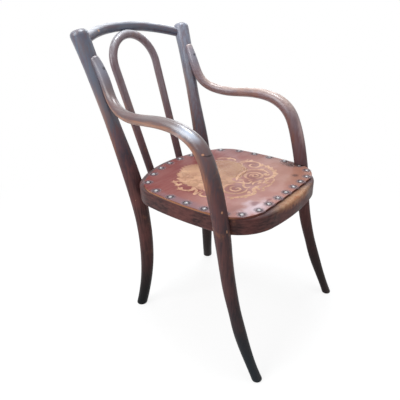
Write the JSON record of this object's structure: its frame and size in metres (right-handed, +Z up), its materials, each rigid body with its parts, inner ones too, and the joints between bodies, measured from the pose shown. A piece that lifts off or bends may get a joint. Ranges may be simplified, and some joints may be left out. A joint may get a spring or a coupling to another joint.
{
  "type": "bentwood armchair",
  "caption": "Open bentwood armchair with round bent rods, a bowed crest rail, a hairpin back loop and a nailed pressed-plywood seat on a bent ring.",
  "frame": {"origin": "centre of the chair's footprint box, on the floor", "axes": "+Z up, -Y towards the front of the seat, +X to the right as seen from the front; the middle plane is X 0"},
  "size_m": [0.4702, 0.6278, 0.8055],
  "materials": {
    "stained_beech": "dark stained and varnished, worn",
    "seat_plywood": "red-brown stain with a tan pressed ornament",
    "nail_steel": "domed heads, tarnished",
    "screw_steel": "plain",
    "pin_wood": "bare dowel"
  },
  "bodies": {
    "root": {"rear_post_left": "stained_beech", "rear_post_right": "stained_beech", "arm_leg_left": "stained_beech", "arm_leg_right": "stained_beech", "crest_rail": "stained_beech", "back_loop": "stained_beech", "seat_ring": "stained_beech", "seat_panel": "seat_plywood", "seat_nails_front": "nail_steel", "seat_nails_rear": "nail_steel", "seat_nails_left": "nail_steel", "seat_nails_right": "nail_steel", "rear_post_screws_left": "screw_steel", "rear_post_screws_right": "screw_steel", "rear_post_washers_left": "screw_steel", "rear_post_washers_right": "screw_steel", "front_leg_screws_left": "screw_steel", "front_leg_screws_right": "screw_steel", "front_leg_washers_left": "screw_steel", "front_leg_washers_right": "screw_steel", "arm_screw_left": "screw_steel", "arm_screw_right": "screw_steel", "loop_top_screw": "screw_steel", "loop_foot_screw_left": "screw_steel", "loop_foot_screw_right": "screw_steel", "crest_pin_left": "pin_wood", "crest_pin_right": "pin_wood"}
  },
  "joints": []
}
